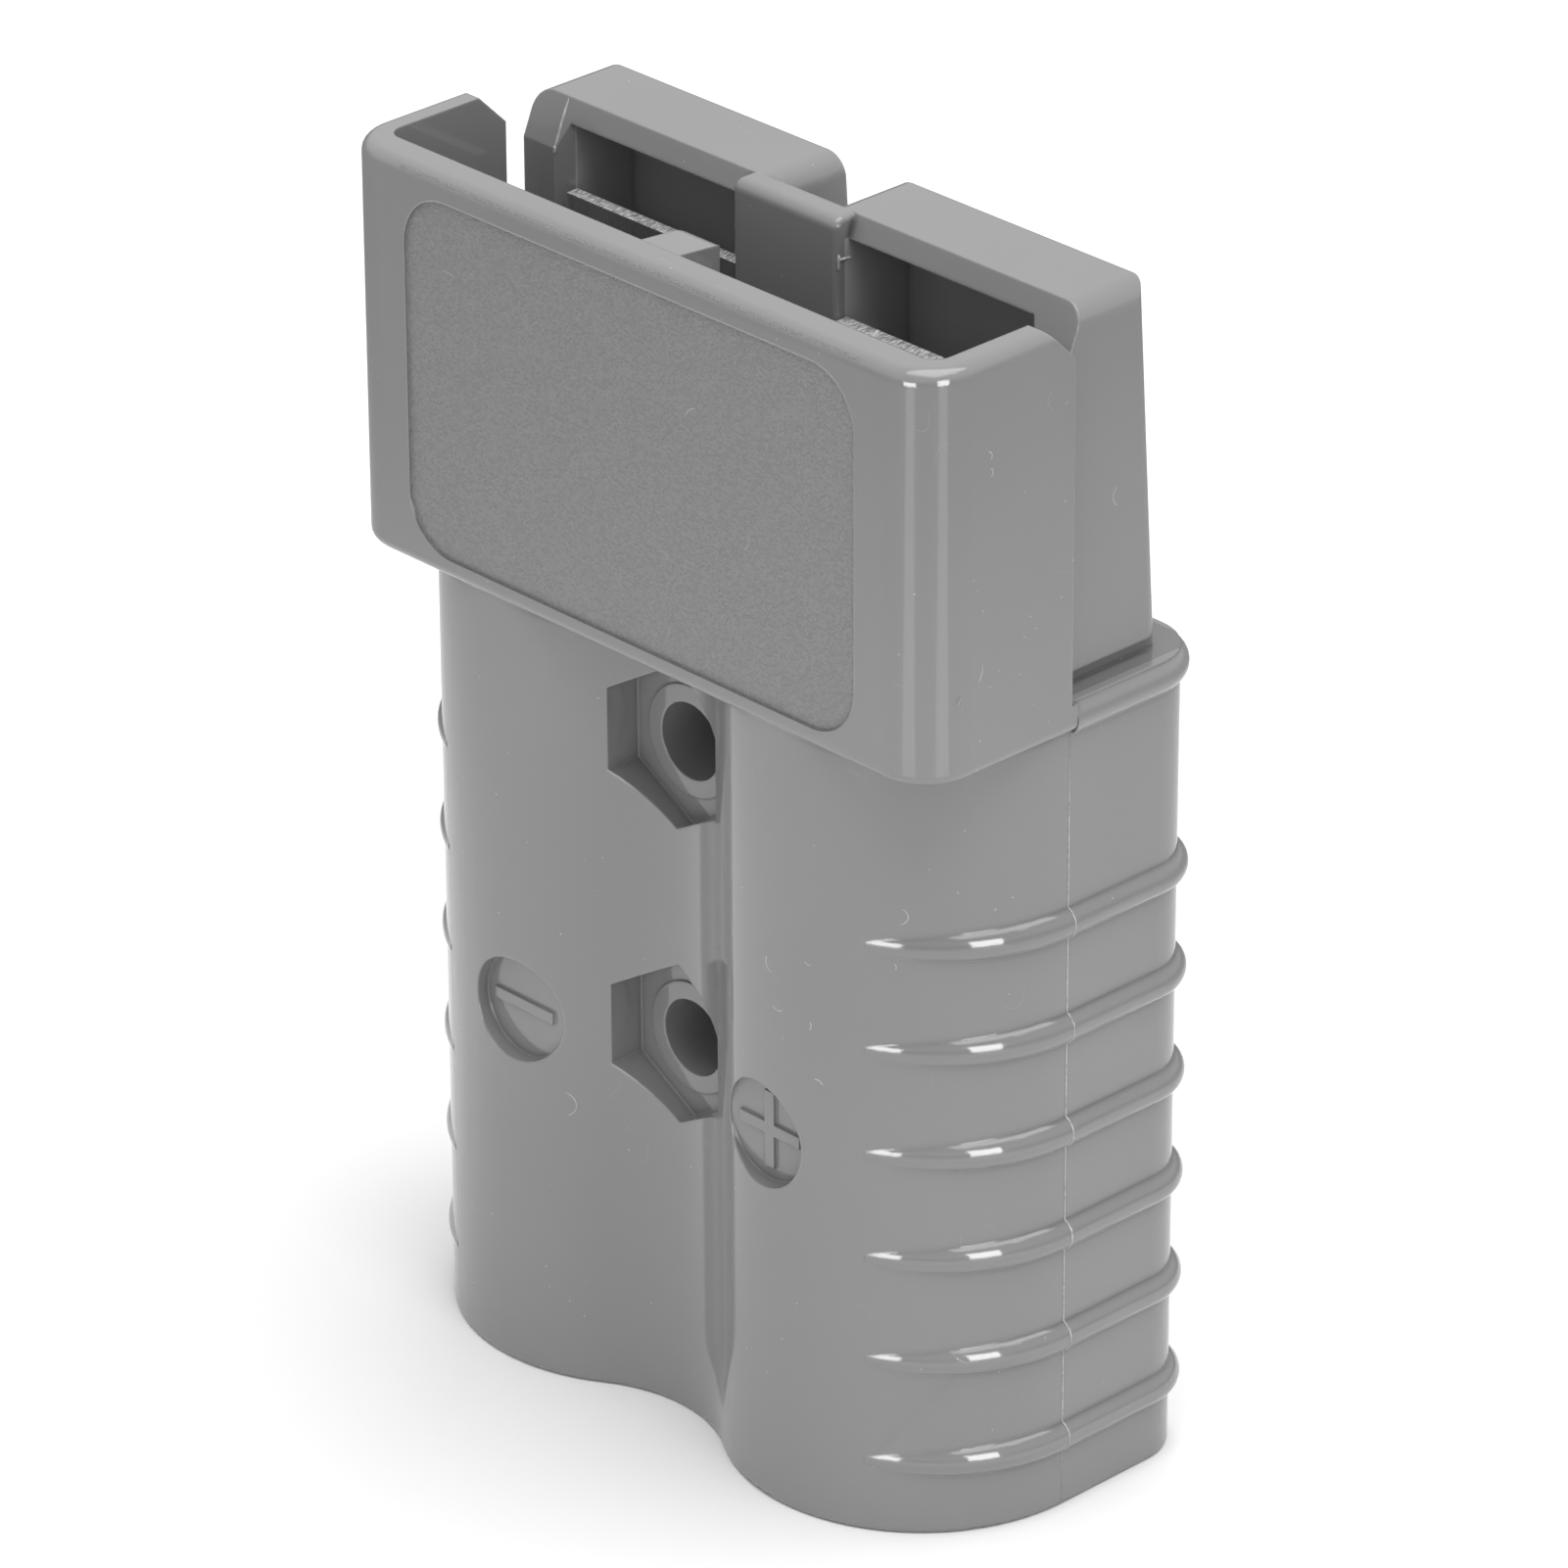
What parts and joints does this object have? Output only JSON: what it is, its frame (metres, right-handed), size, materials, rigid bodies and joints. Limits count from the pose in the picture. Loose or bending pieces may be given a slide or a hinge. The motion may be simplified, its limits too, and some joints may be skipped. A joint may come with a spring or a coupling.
{
  "type": "genderless power connector",
  "caption": "Genderless power connector half: two-lobed body with grip ribs, open hood, contact boxes with leaf springs, nut pockets and mounting holes.",
  "frame": {"origin": "on the cable end face, in the parting plane, midway between the two cable lobes", "axes": "+Z from the cable end to the mating end, +Y from the hood side to the back, +X to the plus side"},
  "size_m": [0.0704, 0.0342, 0.11],
  "materials": {
    "housing_plastic": "satin moulded polycarbonate",
    "spring_steel": "sheared strip"
  },
  "bodies": {
    "root": {"housing": "housing_plastic", "spring_left": "spring_steel", "spring_right": "spring_steel"}
  },
  "joints": []
}
